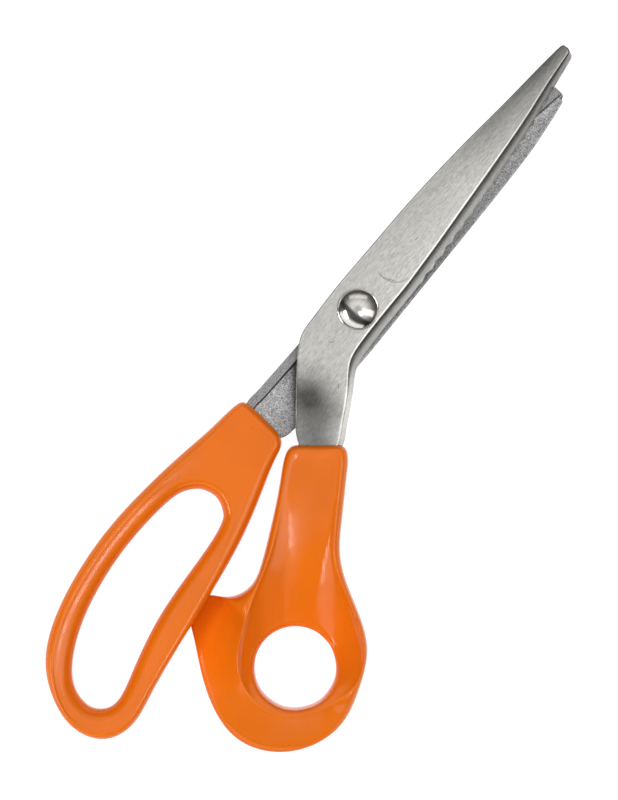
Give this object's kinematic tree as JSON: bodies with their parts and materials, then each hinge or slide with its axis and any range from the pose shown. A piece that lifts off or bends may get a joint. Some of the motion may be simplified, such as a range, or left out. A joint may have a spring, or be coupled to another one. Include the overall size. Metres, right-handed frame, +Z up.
{
  "type": "pinking shears",
  "caption": "Pinking shears with wave-cut steel blades, a domed pivot screw, and moulded bow handles with a long finger loop and a funnel-shaped thumb ring.",
  "frame": {"origin": "on the pivot axis, at the flat closed back of the lock nut, which lies on the table", "axes": "+X along the closed blades to the tip, +Z up from the table along the pivot axis"},
  "size_m": [0.2296, 0.0835, 0.015],
  "materials": {
    "lower_blade_steel": "satin, fine grained ground steel",
    "upper_blade_steel": "lengthwise brushed stainless steel with fine scratches",
    "handle_plastic": "glossy orange moulded plastic",
    "polished_steel": "polished steel dome",
    "nut_steel": "turned steel",
    "spring_steel": "dark spring steel",
    "bearing_bronze": "plain bronze bearing ring"
  },
  "bodies": {
    "lower": {"lower_blade": "lower_blade_steel", "finger_handle": "handle_plastic", "pivot_screw": "polished_steel", "lock_nut": "nut_steel", "spring_washer": "spring_steel", "bearing_washer": "bearing_bronze"},
    "upper": {"upper_blade": "upper_blade_steel", "thumb_handle": "handle_plastic"}
  },
  "joints": [
    {"name": "blade_pivot", "type": "hinge", "parent": "lower", "child": "upper", "pos_m": [0, 0, 0.0078], "axis": [0, 0, 1], "range_deg": [0, 40]}
  ]
}
